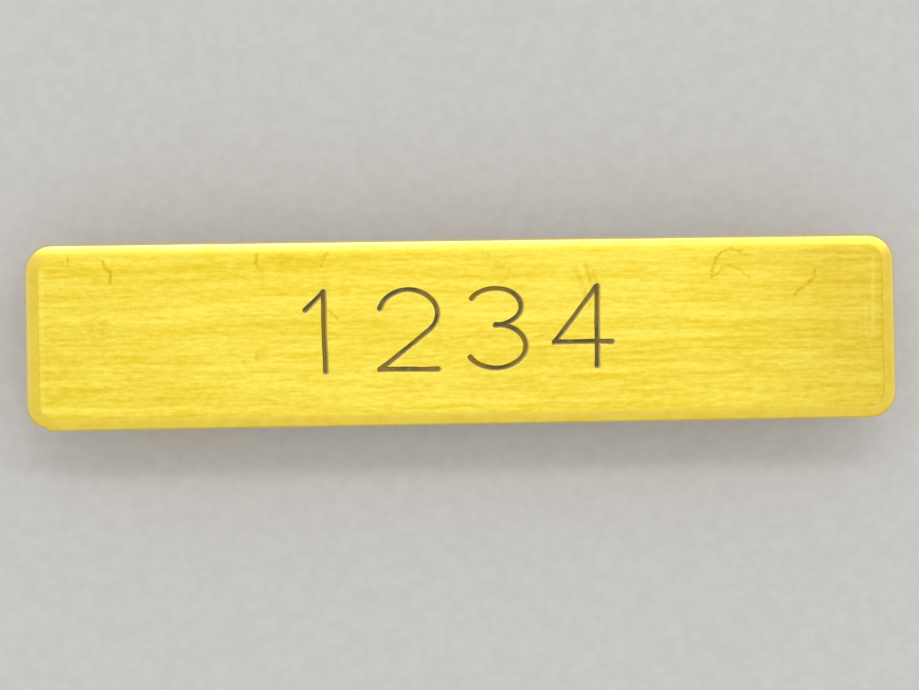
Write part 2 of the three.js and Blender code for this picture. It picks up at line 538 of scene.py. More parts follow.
FACE_MARKS = (
    Mark(((-24.8, 5.15), (-24.6, 4.7), (-24.25, 4.4), (-24.3, 3.7)), 0.2, 0.9),
    Mark(((-14.25, 5.55), (-14.35, 5.0), (-14.25, 4.6), (-13.9, 4.45)), 0.18, 0.75),
    Mark(((-12.6, 5.4), (-12.0, 5.2), (-12.5, 4.9)), 0.3, 0.45),
    Mark(((-27.8, 5.2), (-27.5, 5.1)), 0.16, 0.55),
    Mark(((-27.15, 5.4), (-27.15, 4.95)), 0.18, 0.65),
    Mark(((-9.35, 5.8), (-9.6, 5.2), (-9.8, 4.65)), 0.18, 0.65),
    Mark(((-9.3, 1.6), (-8.8, 1.0)), 0.2, 0.65),
    Mark(((7.8, 4.2), (8.7, 1.7)), 0.34, 0.5),
    Mark(((8.5, 4.4), (9.2, 2.0)), 0.3, 0.55),
    Mark(((9.0, 4.1), (9.5, 2.3)), 0.26, 0.45),
    Mark(((17.2, 3.55), (17.3, 4.0), (17.6, 4.85), (18.0, 5.3), (18.6, 5.5), (19.3, 5.3)), 0.2, 0.85),
    Mark(((17.2, 3.6), (17.6, 3.75), (18.1, 4.25), (18.6, 4.3), (19.2, 4.05), (19.9, 3.45)), 0.19, 0.8),
    Mark(((24.5, 3.9), (24.45, 3.4), (23.9, 2.95), (23.35, 2.55), (23.05, 2.25)), 0.2, 0.95),
    # Painted shade: a dark line along the crease where the right end's bevel meets the face
    Mark(((29.15, 4.6), (29.15, -4.7)), 0.22, 0.3),
    Mark(((28.6, 4.9), (28.5, -0.7)), 0.24, 0.26, Tone.LIGHT),
    Mark(((28.05, 1.6), (28.0, -0.5)), 0.16, 0.26, Tone.LIGHT),
    Mark(((20.0, 4.95), (28.1, 4.85)), 0.16, 0.26, Tone.LIGHT),
    Mark(((27.6, -0.55), (29.0, -0.5)), 0.18, 0.3, Tone.LIGHT),
    Mark(((20.8, -2.45), (28.6, -2.55)), 0.16, 0.22, Tone.LIGHT),
    # Painted highlight: a light line along the crest where the left end's bevel meets the face
    Mark(((-28.95, 4.6), (-28.95, -4.7)), 0.25, 0.3, Tone.LIGHT),
)

FACE_STAINS = (
    Stain((-25.2, 0.6), 0.5, 0.6, 0.42),
    Stain((-14.6, 0.15), 0.05, 0.3, 0.7),
    Stain((-12.6, 0.1), 0.05, 0.26, 0.6),
    Stain((-14.25, -1.5), 0.1, 0.36, 0.5),
    Stain((-15.1, -1.9), 0.05, 0.26, 0.55),
    Stain((2.6, 4.0), 0.5, 0.5, 0.35),
    Stain((1.5, 5.3), 0.15, 0.35, 0.35),
)


@dataclass(frozen=True)
class BrushedBrass:
    """The plate's brass, brushed along its length on the face and smoother on its rim.

    Attributes:
        face_height: The height of the face, in millimetres.
        back_height: The height of the back, in millimetres.
        face_fade: How far below the face its finish starts and is whole.
        pale: The brass where the brushing catches the light.
        deep: The brass in the brushing's troughs.
        contrast: The heights of the brushing that look deep and pale.
        dulling: The share of each colour that the darkening towards the right end lets through.
        dulled_reach: Where along X the darkening starts and is deepest.
        dulled_most: How much of it shows where it is deepest.
        dulled_least: The share of that which its thinnest patches keep.
        dulled_patches: The noise of its patches.
        mark: The brass in a dark mark or stain, and in the painted shade line at the right end.
        rubbed_and_highlit: The brass in a lightly rubbed mark, and in the left end's painted highlight
            line.
        bends_per_mm: How many bends a millimetre of a mark holds.
        bend: How strongly it bends.
        scratch_breaks: The noise that breaks up the marks.
        scratch_span: The values of that noise where a mark is faintest and whole.
        scratch_least: The share of its strength that the faintest stretch of a mark keeps.
        stain_patches: The noise that breaks up the stains.
        stain_span: The values of that noise where a stain is missing and whole.
        rim_pale: The lighter brass of the rim.
        rim_deep: The darker brass of the rim.
        rim_patches: The noise between those two.
        edge: The pale brass of the small round edge, a painted glint of grazing light.
        edge_start: How far below the face the pale edge starts and is whole.
        edge_end: How far below the face it begins to end and has ended.
        handled: Where along Y the painted glint starts and is whole; the shaded lower side has none.
        back_bright: The brass of the back where it is clean.
        back_dull: The brass of the back where it has tarnished.
        back_patches: The noise between those two.
        back_span: The values of that noise where the back is clean and tarnished.
        back_fade: How far above the back its finish begins to end and has ended.
        roughness: The face's mean roughness.
        roughness_spread: How much rougher its troughs are, and how much smoother its ridges.
        rim_polish: How much less rough the rim is.
        milling: The noise of the cutter's lines on the rim.
        relief_depth: How deep the brushing and those lines are.
        relief_share: How much of that depth shows.
        streak_sharpness: How much more the light spreads across the brushing than along it.
        streak_turn: The direction of that spread from the brushing's, as a share of a full turn.
        streak_seed: The first layer's noise.
        streak_detail: How many finer layers each layer's noise has.
        streaks: Cells to the millimetre along X and Y, and the share, of each layer of brushing.
    """

    face_height: float
    back_height: float
    face_fade: Point = (0.012, 0.002)
    pale: Colour = (0.98, 0.825, 0.116)
    deep: Colour = (0.785, 0.566, 0.021)
    contrast: Point = (0.31, 0.67)
    dulling: Colour = (0.8, 0.71, 0.75)
    dulled_reach: Point = (17.0, 31.0)
    dulled_most: float = 0.6
    dulled_least: float = 0.75
    dulled_patches: Grain = Grain((0.25, 0.9, 0.9), 27.0)
    mark: Colour = (0.68, 0.46, 0.0)
    rubbed_and_highlit: Colour = (1.0, 0.86, 0.2)
    bends_per_mm: float = 2.2
    bend: float = 0.3
    scratch_breaks: Grain = Grain((1.9, 1.9, 1.9), 43.0)
    scratch_span: Point = (0.3, 0.6)
    scratch_least: float = 0.5
    stain_patches: Grain = Grain((2.4, 2.4, 2.4), 41.0)
    stain_span: Point = (0.36, 0.62)
    rim_pale: Colour = (1.0, 0.77, 0.1)
    rim_deep: Colour = (0.96, 0.7, 0.075)
    rim_patches: Grain = Grain((1.1, 1.3, 1.3), 31.0)
    edge: Colour = (0.95, 0.8, 0.35)
    edge_start: Point = (0.5, 0.3)
    edge_end: Point = (0.13, 0.05)
    handled: Point = (-5.9, -4.6)
    back_bright: Colour = (0.88, 0.66, 0.16)
    back_dull: Colour = (0.66, 0.46, 0.11)
    back_patches: Grain = Grain((0.4, 0.4, 0.4), 37.0, 4.0)
    back_span: Point = (0.35, 0.7)
    back_fade: Point = (0.04, 0.3)
    roughness: float = 0.28
    roughness_spread: float = 0.04
    rim_polish: float = 0.05
    milling: Grain = Grain((0.25, 0.25, 9.0), 17.0)
    relief_depth: float = 0.012
    relief_share: float = 0.5
    streak_sharpness: float = 0.3
    streak_turn: float = 0.25
    streak_seed: float = 11.0
    streak_detail: float = 2.5
    streaks: tuple[tuple[float, float, float], ...] = (
        (6.0, 7.0, 0.12),
        (1.4, 4.2, 0.3),
        (0.3, 3.6, 0.3),
        (0.05, 1.7, 0.28),
    )

    def build(self) -> bpy.types.Material:
        """Makes the material.

        Returns:
            The finished material.
        """
        graph = Graph("brushed_brass")
        height = graph.part(graph.place, "Z")
        on_face = graph.ramp(height, self.below_face(self.face_fade))
        off_face = graph.sum(Sum.SUBTRACT, 1.0, on_face)
        brushing = self.brushing(graph)
        dark, light = self.marks(graph)
        toned = graph.blend(graph.ramp(brushing, self.contrast), self.deep, self.pale)
        # The face turns darker and more olive towards its right end
        toned = graph.blend(self.tarnish(graph), toned, graph.stretch(toned, self.dulling))
        colour = graph.blend(on_face, self.rim(graph, height), toned)
        # Dark marks and stains, with the painted shade line at the right end
        colour = graph.blend(graph.sum(Sum.MULTIPLY, dark, on_face), colour, self.mark)
        # Light marks: rubbed lines, and the painted highlight line at the left end
        colour = graph.blend(graph.sum(Sum.MULTIPLY, light, on_face), colour, self.rubbed_and_highlit)
        rough_range = (self.roughness + self.roughness_spread, self.roughness - self.roughness_spread)
        brushed_rough = graph.ramp(brushing, NOISE_SPAN, rough_range)
        polish = graph.sum(Sum.MULTIPLY, off_face, self.rim_polish)
        brushed_relief = graph.sum(Sum.MULTIPLY, brushing, on_face)
        milled_relief = graph.sum(Sum.MULTIPLY, graph.grain(self.milling), off_face)
        relief = graph.sum(Sum.ADD, brushed_relief, milled_relief)
        tangent = graph.node("ShaderNodeTangent")
        tangent.direction_type = "UV_MAP"
        tangent.uv_map = NamePlate.BRUSH_DIRECTION
        graph.set(
            Base_Color=colour,
            Metallic=1.0,
            Roughness=graph.sum(Sum.SUBTRACT, brushed_rough, polish),
            Anisotropic=self.streak_sharpness,
            Anisotropic_Rotation=self.streak_turn,
            Tangent=tangent.outputs["Tangent"],
            Normal=graph.relief(relief, self.relief_depth, self.relief_share),
        )
        return graph.material

    def below_face(self, depths: Point) -> Point:
        """Turns two depths below the face into heights."""
        return self.face_height - depths[0], self.face_height - depths[1]

    def rim(self, graph: Graph, height: Socket) -> Socket:
        """Colours the rim, its pale edge with a painted glint, the side walls and the duller back.

        Args:
            graph: The material's graph.
            height: The height of the place, in millimetres.

        Returns:
            The colour.
        """
        patches = graph.ramp(graph.grain(self.rim_patches), NOISE_SPAN)
        rim = graph.blend(patches, self.rim_deep, self.rim_pale)
        above_side = graph.ramp(height, self.below_face(self.edge_start))
        below_bevel = graph.ramp(height, self.below_face(self.edge_end), (1.0, 0.0))
        # Painted glint: the pale edge runs along the top and the two ends and is left off the lower side,
        # which lies in shade
        handled = graph.ramp(graph.part(graph.place, "Y"), self.handled)
        on_glinting_edge = graph.sum(Sum.MULTIPLY, graph.sum(Sum.MULTIPLY, above_side, below_bevel), handled)
        rim = graph.blend(on_glinting_edge, rim, self.edge)
        stained = graph.ramp(graph.grain(self.back_patches), self.back_span)
        dull = graph.blend(stained, self.back_bright, self.back_dull)
        above_back = (self.back_height + self.back_fade[0], self.back_height + self.back_fade[1])
        return graph.blend(graph.ramp(height, above_back), dull, rim)

    def tarnish(self, graph: Graph) -> Socket:
        """Works out how far the face turns darker and more olive towards its right end, in patches.

        Args:
            graph: The material's graph.

        Returns:
            How much of it shows, from 0 to 1.
        """
        x = graph.part(graph.place, "X")
        deepening = graph.ramp(x, self.dulled_reach, (0.0, self.dulled_most))
        patches = graph.grain(self.dulled_patches)
        uneven = graph.ramp(patches, NOISE_SPAN, (self.dulled_least, 1.0))
        return graph.sum(Sum.MULTIPLY, deepening, uneven)

    def brushing(self, graph: Graph) -> Socket:
        """Adds up the layers of brushing.

        Args:
            graph: The material's graph.

        Returns:
            The brushing's height, about 0.5 on the mean.
        """
        total: Socket | float = 0.0
        for seed, (along, across, share) in enumerate(self.streaks):
            streak = Grain((along, across, across), self.streak_seed + seed, self.streak_detail)
            layer = graph.sum(Sum.MULTIPLY, graph.grain(streak), share)
            total = graph.sum(Sum.ADD, total, layer)
        return total

    def marks(self, graph: Graph) -> tuple[Socket, Socket]:
        """Draws the marks and stains, among them painted shade and highlight lines at the ends.

        Args:
            graph: The material's graph.

        Returns:
            How strongly the dark marks show, and how strongly the light ones do.
        """
        place = graph.shift(graph.stretch(graph.place, FLAT), self.wander(graph))
        patchy = graph.ramp(graph.grain(self.stain_patches), self.stain_span)
        breaks = graph.grain(self.scratch_breaks)
        broken = graph.ramp(breaks, self.scratch_span, (self.scratch_least, 1.0))
        segment = segment_group()
        shown: dict[Tone, Socket | float] = {Tone.DARK: 0.0, Tone.LIGHT: 0.0}
        for mark in FACE_MARKS:
            nearest: Socket | float = FAR_OFF
            for start, end in zip(mark.path, mark.path[1:]):
                piece = graph.node("ShaderNodeGroup")
                piece.node_tree = segment
                graph.link(place, piece.inputs["Place"])
                piece.inputs["Start"].default_value = (*start, 0.0)
                piece.inputs["Run"].default_value = (end[0] - start[0], end[1] - start[1], 0.0)
                nearest = graph.sum(Sum.SMALLER, nearest, piece.outputs["Distance"])
            fading = graph.ramp(nearest, (0.0, mark.width), (mark.strength, 0.0))
            scratch = graph.sum(Sum.MULTIPLY, fading, broken)
            shown[mark.tone] = graph.sum(Sum.LARGER, shown[mark.tone], scratch)
        for stain in FACE_STAINS:
            reach = graph.node("ShaderNodeVectorMath")
            reach.operation = "DISTANCE"
            graph.link(place, reach.inputs[0])
            reach.inputs[1].default_value = (*stain.centre, 0.0)
            past_ring = graph.sum(Sum.SUBTRACT, reach.outputs["Value"], stain.radius)
            off_ring = graph.sum(Sum.SIZE, past_ring)
            fading = graph.ramp(off_ring, (0.0, stain.width), (stain.strength, 0.0))
            spot = graph.sum(Sum.MULTIPLY, fading, patchy)
            shown[Tone.DARK] = graph.sum(Sum.LARGER, shown[Tone.DARK], spot)
        return shown[Tone.DARK], shown[Tone.LIGHT]

    def wander(self, graph: Graph) -> Socket:
        """Gives each place a small steady offset, so that marks bend as a real scratch does.

        Args:
            graph: The material's graph.

        Returns:
            The offset, in millimetres.
        """
        cells = graph.stretch(graph.place, (self.bends_per_mm, self.bends_per_mm, 0.0))
        centred = graph.shift(graph.add_noise(cells).outputs["Color"], (-0.5, -0.5, -0.5))
        return graph.stretch(centred, (self.bend, self.bend, 0.0))


def segment_group() -> bpy.types.NodeTree:
    """Makes a node group that measures how far a place is from a straight segment.

    Returns:
        The group, with the inputs Place, Start and Run and the output Distance.
    """
    group = bpy.data.node_groups.new("segment_distance", "ShaderNodeTree")
    for name in ("Place", "Start", "Run"):
        group.interface.new_socket(name, in_out="INPUT", socket_type="NodeSocketVector")
    group.interface.new_socket("Distance", in_out="OUTPUT", socket_type="NodeSocketFloat")
    nodes, links = group.nodes, group.links
    given = nodes.new("NodeGroupInput")
    result = nodes.new("NodeGroupOutput")

    def vector_node(operation: str, *values: Socket) -> bpy.types.Node:
        """Adds a vector node.

        Args:
            operation: What it does.
            *values: The outputs that its inputs are linked to, in order.

        Returns:
            The node.
        """
        made = nodes.new("ShaderNodeVectorMath")
        made.operation = operation
        for socket, value in zip(made.inputs, values):
            links.new(value, socket)
        return made

    offset = vector_node("SUBTRACT", given.outputs["Place"], given.outputs["Start"]).outputs[0]
    along = vector_node("DOT_PRODUCT", offset, given.outputs["Run"]).outputs["Value"]
    square = vector_node("DOT_PRODUCT", given.outputs["Run"], given.outputs["Run"]).outputs["Value"]
    share = nodes.new("ShaderNodeMath")
    share.operation = "DIVIDE"
    share.use_clamp = True
    links.new(along, share.inputs[0])
    links.new(square, share.inputs[1])
    nearest = vector_node("SCALE", given.outputs["Run"])
    links.new(share.outputs[0], nearest.inputs["Scale"])
    distance = vector_node("DISTANCE", offset, nearest.outputs[0])
    links.new(distance.outputs["Value"], result.inputs["Distance"])
    return group


@dataclass(frozen=True)
class EngravingPaint:
    """The dark paint in the digits: brown where it is thin, greyer where it is thick or dusty.

    Attributes:
        thin: Its colour where the brass shows through it.
        thick: Its colour where it is thick.
        coverage: The noise of its thickness.
        coverage_span: The values of that noise where it is thin and thick.
        dusty: Its colour where dust lies on it.
        dust: The noise of the dust.
        dust_span: The values of that noise where it is clean and dusty.
        speckle: The noise of its fine relief.
        roughness: Its mean roughness.
        roughness_spread: How much its smoothest and its roughest specks differ from that.
        relief_depth: How deep its fine relief is, in millimetres.
        relief_share: How much of that depth shows.
    """

    thin: Colour = (0.36, 0.235, 0.01)
    thick: Colour = (0.15, 0.128, 0.045)
    coverage: Grain = Grain((0.45, 0.35, 0.4), 5.0)
    coverage_span: Point = (0.44, 0.6)
    dusty: Colour = (0.3, 0.245, 0.11)
    dust: Grain = Grain((1.6, 1.6, 1.6), 9.0, 3.0)
    dust_span: Point = (0.48, 0.7)
    speckle: Grain = Grain((14.0, 14.0, 14.0), 8.0)
    roughness: float = 0.5
    roughness_spread: Point = (-0.1, 0.12)
    relief_depth: float = 0.01
    relief_share: float = 0.6

    def build(self) -> bpy.types.Material:
        """Makes the material.

        Returns:
            The finished material.
        """
        graph = Graph("engraving_paint")
        cover = graph.ramp(graph.grain(self.coverage), self.coverage_span)
        dust = graph.ramp(graph.grain(self.dust), self.dust_span)
        speckle = graph.grain(self.speckle)
        smoothest, roughest = (self.roughness + spread for spread in self.roughness_spread)
        graph.set(
            Base_Color=graph.blend(dust, graph.blend(cover, self.thin, self.thick), self.dusty),
            Roughness=graph.ramp(speckle, NOISE_SPAN, (smoothest, roughest)),
            Normal=graph.relief(speckle, self.relief_depth, self.relief_share),
        )
        return graph.material


@dataclass(frozen=True)
class GrooveBrass:
    """The cut brass of the digits' walls, pale on the rubbed lip and smeared with paint lower down.

    Attributes:
        face_height: The height of the face, in millimetres.
        lip: The brass of the rubbed lip.
        smeared: The brass under a smear of paint.
        smear_reach: How far below the face the smear starts and is whole, in millimetres.
        ragged: The noise that makes its start ragged.
        ragged_reach: How far that noise moves it, in millimetres.
        metallic: How metallic the lip and the smear look.
        roughness: How rough the lip and the smear are.
        tool_lines: The noise of the cutter's lines.
        relief_depth: How deep those lines are, in millimetres.
        relief_share: How much of that depth shows.
    """

    face_height: float
    lip: Colour = (0.92, 0.74, 0.2)
    smeared: Colour = (0.47, 0.33, 0.04)
    smear_reach: Point = (0.015, 0.1)
    ragged: Grain = Grain((5.0, 5.0, 5.0), 3.0)
    ragged_reach: float = 0.05
    metallic: Point = (0.8, 0.1)
    roughness: Point = (0.4, 0.6)
    tool_lines: Grain = Grain((9.0, 9.0, 2.0), 4.0)
    relief_depth: float = 0.012
    relief_share: float = 0.6

    def build(self) -> bpy.types.Material:
        """Makes the material.

        Returns:
            The finished material.
        """
        graph = Graph("groove_brass")
        depth = graph.sum(Sum.SUBTRACT, self.face_height, graph.part(graph.place, "Z"))
        ragged = graph.sum(Sum.MULTIPLY, graph.grain(self.ragged), self.ragged_reach)
        smear = graph.ramp(graph.sum(Sum.ADD, depth, ragged), self.smear_reach)
        lines = graph.grain(self.tool_lines)
        graph.set(
            Base_Color=graph.blend(smear, self.lip, self.smeared),
            Metallic=graph.ramp(smear, (0.0, 1.0), self.metallic),
            Roughness=graph.ramp(smear, (0.0, 1.0), self.roughness),
            Normal=graph.relief(lines, self.relief_depth, self.relief_share),
        )
        return graph.material


@dataclass(frozen=True)
class TurnedBrass:
    """Lathe-turned brass with fine rings round each piece's own axis and light tarnish.

    Attributes:
        axes: Where the axes of the turned pieces stand, in millimetres along X.
        name: The material's name.
        bright: The brass where it is rubbed clean.
        tarnished: The brass where it has dulled.
        roughness: Its mean roughness.
        rings_per_mm: How many turning rings a millimetre holds.
        tarnish: The noise of the tarnish.
        tarnish_span: The values of that noise where the brass is bright and tarnished.
        rough_span: The values of that noise where the brass is smoothest and roughest.
        rough_spread: How much it differs from its mean roughness there.
        handling: The noise of the handling.
        handling_spread: How much handling smooths or roughens it.
        relief_depth: How deep the rings are, in millimetres.
        relief_share: How much of that depth shows.
    """

    axes: Point
    name: str
    bright: Colour
    tarnished: Colour
    roughness: float
    rings_per_mm: float
    tarnish: Grain = Grain((0.35, 0.35, 0.45), 21.0, 3.0)
    tarnish_span: Point = (0.38, 0.72)
    rough_span: Point = (0.35, 0.7)
    rough_spread: Point = (-0.04, 0.06)
    handling: Grain = Grain((4.0, 4.0, 4.0), 23.0)
    handling_spread: Point = (-0.03, 0.03)
    relief_depth: float = 0.01
    relief_share: float = 0.5

    def build(self) -> bpy.types.Material:
        """Makes the material.

        Returns:
            The finished material.
        """
        graph = Graph(self.name)
        tarnish = graph.grain(self.tarnish)
        smoothest, roughest = (self.roughness + spread for spread in self.rough_spread)
        rough = graph.ramp(tarnish, self.rough_span, (smoothest, roughest))
        handled = graph.ramp(graph.grain(self.handling), NOISE_SPAN, self.handling_spread)
        shine = graph.ramp(tarnish, self.tarnish_span)
        graph.set(
            Base_Color=graph.blend(shine, self.bright, self.tarnished),
            Metallic=1.0,
            Roughness=graph.sum(Sum.ADD, rough, handled),
            Normal=graph.relief(self.rings(graph), self.relief_depth, self.relief_share),
        )
        return graph.material

    def rings(self, graph: Graph) -> Socket:
        """Draws the turning rings round the nearer of the two axes.

        Args:
            graph: The material's graph.

        Returns:
            The rings' height.
        """
        left, right = self.axes
        from_middle = graph.sum(Sum.SUBTRACT, graph.part(graph.place, "X"), (left + right) / 2)
        off_axis = graph.sum(Sum.SUBTRACT, graph.sum(Sum.SIZE, from_middle), (right - left) / 2)
        radius = graph.node("ShaderNodeVectorMath")
        radius.operation = "LENGTH"
        graph.link(graph.join(X=off_axis, Y=graph.part(graph.place, "Y")), radius.inputs[0])
        lathe = graph.join(X=radius.outputs["Value"], Z=graph.part(graph.place, "Z"))
        rings = graph.stretch(lathe, (self.rings_per_mm,) * 3)
        return graph.add_noise(rings).outputs["Fac"]


@dataclass(frozen=True)
class ClutchBrass(TurnedBrass):
    """The clutches' brass, lightly polished."""

    name: str = "clutch_brass"
    bright: Colour = (0.9, 0.68, 0.2)
    tarnished: Colour = (0.74, 0.53, 0.14)
    roughness: float = 0.3
    rings_per_mm: float = 9.0


@dataclass(frozen=True)
class PostBrass(TurnedBrass):
    """The posts' plain drawn brass."""

    name: str = "post_brass"
    bright: Colour = (0.84, 0.66, 0.28)
    tarnished: Colour = (0.64, 0.48, 0.18)
    roughness: float = 0.34
    rings_per_mm: float = 6.0


@dataclass(frozen=True)
class PaleFloor:
    """The plain pale floor.

    Attributes:
        light: The floor's lighter colour.
        dark: Its darker colour.
        tooth: The noise of its fine relief.
        roughness: Its roughness.
        relief_depth: How deep its relief is, in millimetres.
        relief_share: How much of that depth shows.
    """

    light: Colour = (0.74, 0.73, 0.71)
    dark: Colour = (0.7, 0.69, 0.67)
    tooth: Grain = Grain((1.2, 1.2, 1.2), 2.0, 4.0)
    roughness: float = 0.8
    relief_depth: float = 0.02
    relief_share: float = 0.2

    def build(self) -> bpy.types.Material:
        """Makes the material.

        Returns:
            The finished material.
        """
        graph = Graph("pale_floor")
        tooth = graph.grain(self.tooth)
        graph.set(
            Base_Color=graph.blend(graph.ramp(tooth, NOISE_SPAN), self.dark, self.light),
            Roughness=self.roughness,
            Normal=graph.relief(tooth, self.relief_depth, self.relief_share),
        )
        return graph.material


def line(x0: float, y0: float, x1: float, y1: float) -> list[Point]:
    """Gives a straight stroke's two ends."""
    return [(x0, y0), (x1, y1)]


def arc(
    centre: Point,
    radii: Point,
    from_deg: float,
    to_deg: float,
    step_deg: float = 4.0,
) -> list[Point]:
    """Gives the points of an arc.

    Args:
        centre: Its centre.
        radii: Its radius along X and along Y.
        from_deg: Where it starts.
        to_deg: Where it ends, which is the smaller angle on a clockwise arc.
        step_deg: The most degrees between two points.

    Returns:
        Its points, evenly spaced in angle.
    """
    steps = math.ceil(abs(to_deg - from_deg) / step_deg)
    points = []
    for i in range(steps + 1):
        angle = math.radians(from_deg + (to_deg - from_deg) * i / steps)
        points.append(on_ellipse(centre, radii, angle))
    return points


def rounding(centre: Point, radius: float, from_deg: float, to_deg: float) -> list[Point]:
    """Gives a rounded edge of a turned profile, as pairs of distance from the axis and height."""
    return arc(centre, (radius, radius), from_deg, to_deg, ROUNDING_STEP_DEG)


# The strokes of each digit, in shares of the digit's width and height
STROKES: dict[int, list[list[Point]]] = {
    1: [line(0.24, 0.78, 0.56, 1), line(0.56, 1, 0.56, 0)],
    2: [[*arc((0.5, 0.7), (0.5, 0.3), 168, -46), (0, 0)], line(0, 0, 1, 0)],
    3: [arc((0.49, 0.77), (0.45, 0.23), 152, -90), arc((0.49, 0.27), (0.51, 0.27), 90, -152)],
    4: [line(0.74, 1, 0, 0.3), line(0, 0.3, 1, 0.3), line(0.74, 1, 0.74, 0)],
}


@dataclass
class EngravedDigit:
    """One digit, cut by single passes of a round cutter and filled with paint.

    Attributes:
        digit: Which digit it is.
        node: The node of its paint.
        face: The height of the plate's face.
        lean_deg: How far it leans to the left.
        width: The width between the centre lines of its outer strokes.
        height: The height between the centre lines of its top and bottom strokes.
        depth: How deep the cut is.
        mouth: Half the cut's width at the face.
        core: Half its width where its rounded shoulders end and its walls turn steep.
        shoulder_depth: How deep the shoulders reach.
        cutter_lean: How far left and up the deep part lies, because the cutter wasn't quite upright.
        pass_drop: How much deeper each stroke is than the one before, as no two passes are alike.
        paint_depth: How far the paint's middle lies below the face.
        paint_edge_depth: How far its raised edge lies below the face.
        paint_gap: The gap between the paint and the cut.
        wander: How far the hand-guided cutter wanders to each side.
        wander_length: The rough length of one such bend.
        dwell: The share by which the cut is wider where the cutter stood still at an end.
        dwell_reach: How far from the end that dies away.
        swelling: The share by which its width changes along a stroke.
        swelling_length: The rough length of one such change.
        core_curve: How round the bottom of the core is. A smaller power is squarer.
        core_shares: How far down the core each step of the cutter's profile lies, deepest first.
        shoulder_steps: How many steps a shoulder has.
        end_steps: How many steps the round end of a stroke has.
        cut_slack: How far below the cut's depth a face may lie and still belong to it.
        paint_floor: How far above the cut's bottom the paint's bottom is.
        paint_least: The least half width of the paint, at its bottom.
        paint_shares: How far up its side each step lies, from its bottom to its raised edge.
        hollow_least: The least half width of the hollow in its top.
        hollow_floor: How wide the bottom of that hollow is, as a share of its top.
        hollow_curve: How late its sides turn up. A larger power is later.
        hollow_shares: How far out from its middle each step lies.
        hollow_rise: How far above the raised edge the tool that hollows it reaches.
        hollow_inset: How far from the cut's wall that hollow stays.
        sharp_deg: The angle above which the paint's edges stay sharp.
        step: How far apart the points along a stroke are.
    """

    digit: int
    node: str
    face: float
    lean_deg: float
    width: float = 4.0
    height: float = 5.5
    depth: float = 0.32
    mouth: float = 0.225
    core: float = 0.105
    shoulder_depth: float = 0.12
    cutter_lean: float = 0.085
    pass_drop: float = 0.003
    paint_depth: float = 0.2
    paint_edge_depth: float = 0.135
    paint_gap: float = 0.006
    wander: float = 0.022
    wander_length: float = 1.6
    dwell: float = 0.1
    dwell_reach: float = 0.22
    swelling: float = 0.05
    swelling_length: float = 0.9
    core_curve: float = 0.4
    core_shares: tuple[float, ...] = (0.995, 0.96, 0.86, 0.66, 0.4, 0.16)
    shoulder_steps: int = 12
    end_steps: int = 12
    cut_slack: float = 0.05
    paint_floor: float = 0.012
    paint_least: float = 0.02
    paint_shares: tuple[float, ...] = (0.0, 0.1, 0.25, 0.45, 0.7, 1.0)
    hollow_least: float = 0.012
    hollow_floor: float = 0.1
    hollow_curve: float = 2.2
    hollow_shares: tuple[float, ...] = (0.0, 0.15, 0.35, 0.6, 0.85, 1.0)
    hollow_rise: float = 0.05
    hollow_inset: float = 0.016
    sharp_deg: float = 50.0
    step: float = 0.1

    def __post_init__(self) -> None:
        """Takes the box of its paint from the frame."""
        self.low, self.high = node_box(self.node)

    def paths(self) -> list[list[Vector]]:
        """Works out the strokes' centre lines.

        Returns:
            Each stroke's evenly spaced points on the plate, in millimetres.
        """
        turned = Matrix.Rotation(math.radians(self.lean_deg), 2)
        placed = []
        for stroke in STROKES[self.digit]:
            points = [Vector(((x - 0.5) * self.width, (y - 0.5) * self.height)) for x, y in stroke]
            placed.append([turned @ point for point in points])
        low = Vector([min(point[axis] for path in placed for point in path) for axis in (0, 1)])
        high = Vector([max(point[axis] for path in placed for point in path) for axis in (0, 1)])
        shift = ((self.low + self.high) / 2).to_2d() - (low + high) / 2
        moved = [[point + shift for point in path] for path in placed]
        return [self.hand_cut(self.even(path), stroke) for stroke, path in enumerate(moved)]

    def even(self, path: list[Vector]) -> list[Vector]:
        """Spaces a path's points evenly.

        Args:
            path: The path.

        Returns:
            The same path with its points about a step apart.
        """
        lengths = [(b - a).length for a, b in zip(path, path[1:])]
        steps = max(2, round(sum(lengths) / self.step))
        points = []
        for i in range(steps + 1):
            left = sum(lengths) * i / steps
            k = 0
            while k < len(lengths) - 1 and left > lengths[k]:
                left -= lengths[k]
                k += 1
            points.append(path[k].lerp(path[k + 1], min(1.0, left / lengths[k])))
        return points

    def hand_cut(self, path: list[Vector], stroke: int) -> list[Vector]:
        """Lets a path wander a little, as a hand-guided cutter does.

        Args:
            path: The path.
            stroke: The stroke's number, which picks its wander.

        Returns:
            The path as it was cut.
        """
        seed = 10.0 * self.digit + 3.0 * stroke
        wandered = []
        for i, point in enumerate(path):
            along = i * self.step
            offset = [ripple(along, self.wander_length, seed + other) for other in (0.0, 1.5)]
            wandered.append(point + self.wander * Vector(offset))
        return wandered

    def swell(self, path: list[Vector], stroke: int) -> list[float]:
        """Works out how the cut's width changes along a stroke.

        Args:
            path: The stroke's path.
            stroke: The stroke's number.

        Returns:
            A factor on the width at each point, largest where the cutter stood still at the ends.
        """
        factors = []
        for i in range(len(path)):
            from_end = self.step * min(i, len(path) - 1 - i)
            dwell = self.dwell * math.exp(-((from_end / self.dwell_reach) ** 2))
            wave = ripple(i * self.step, self.swelling_length, 7.0 * self.digit + stroke)
            factors.append(1.0 + dwell + self.swelling * wave)
        return factors

